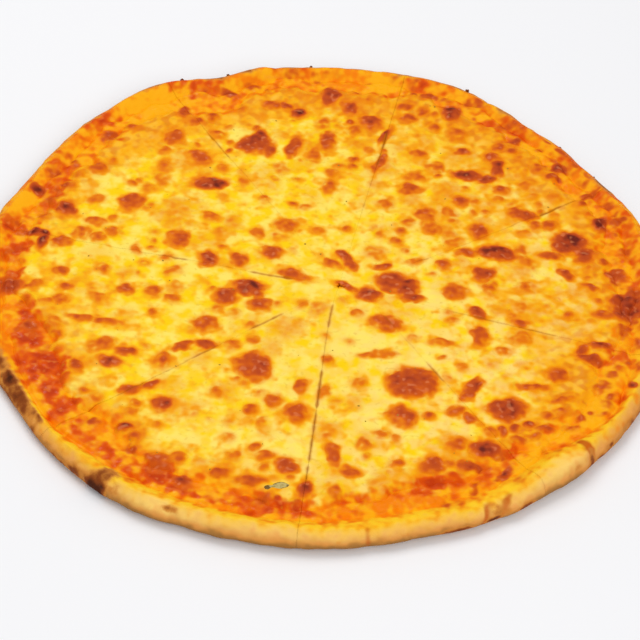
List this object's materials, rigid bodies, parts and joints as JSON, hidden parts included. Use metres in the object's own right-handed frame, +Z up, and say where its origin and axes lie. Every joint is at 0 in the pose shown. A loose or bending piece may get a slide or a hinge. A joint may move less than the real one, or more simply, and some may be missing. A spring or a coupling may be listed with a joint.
{
  "type": "margherita pizza",
  "caption": "Thin round baked pizza with tomato sauce, browned melted cheese and a low raised rim, cut through into slices that lie together.",
  "frame": {"origin": "middle of the pizza's outline, on the flat underside that it rests on", "axes": "+Z up through the topping; -Y towards the side with the widest bare rim; +X to the right seen from there"},
  "size_m": [0.3001, 0.2996, 0.0113],
  "materials": {
    "dough": "matte",
    "sauce": "satin",
    "cheese": "satin",
    "herb": "matte"
  },
  "bodies": {
    "root": {"dough_1": "dough", "dough_2": "dough", "dough_3": "dough", "dough_4": "dough", "dough_5": "dough", "dough_6": "dough", "dough_7": "dough", "dough_8": "dough", "sauce_1": "sauce", "sauce_2": "sauce", "sauce_3": "sauce", "sauce_4": "sauce", "sauce_5": "sauce", "sauce_6": "sauce", "sauce_7": "sauce", "sauce_8": "sauce", "cheese_1": "cheese", "cheese_2": "cheese", "cheese_3": "cheese", "cheese_4": "cheese", "cheese_5": "cheese", "cheese_6": "cheese", "cheese_7": "cheese", "cheese_8": "cheese", "herb_scrap": "herb"}
  },
  "joints": []
}
